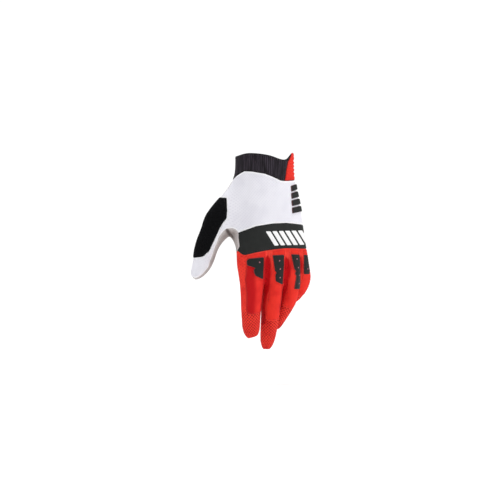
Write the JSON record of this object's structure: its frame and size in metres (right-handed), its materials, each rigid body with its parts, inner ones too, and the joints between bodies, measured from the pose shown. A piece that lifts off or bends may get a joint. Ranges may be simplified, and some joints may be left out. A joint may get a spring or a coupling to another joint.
{
  "type": "mountain bike glove",
  "caption": "Full-finger mountain bike glove for the left hand in its worn shape, hollow, with a ribbed cuff, knuckle band, thumb patch and rubber knuckle guards.",
  "frame": {"origin": "centre of the cuff's mouth, where the wrist goes in", "axes": "+Z out of the cuff along the forearm, so the fingers hang along -Z; the back of the hand faces -Y, the palm +Y; the thumb is on the -X side"},
  "size_m": [0.1401, 0.0663, 0.2221],
  "materials": {
    "cuff": "black ribbed stretch knit",
    "cuff_gusset": "red stretch fabric",
    "back_panel": "white fine knit mesh",
    "thumb_patch": "black towelling",
    "palm_panel": "grey synthetic suede",
    "knuckle_band": "black smooth stretch fabric",
    "finger_back": "red smooth stretch fabric",
    "finger_sleeves": "red coarse mesh",
    "guard": "black matt moulded rubber"
  },
  "bodies": {
    "root": {"cuff": "cuff", "cuff_gusset": "cuff_gusset", "back_panel": "back_panel", "thumb_patch": "thumb_patch", "palm_panel": "palm_panel", "knuckle_band": "knuckle_band", "finger_back_index": "finger_back", "finger_back_middle": "finger_back", "finger_back_ring": "finger_back", "finger_back_little": "finger_back", "finger_sleeves": "finger_sleeves", "knuckle_guard_index": "guard", "knuckle_guard_middle": "guard", "knuckle_guard_ring": "guard", "knuckle_guard_little": "guard", "hand_guard_1": "guard", "hand_guard_2": "guard", "hand_guard_3": "guard", "hand_guard_4": "guard"}
  },
  "joints": []
}
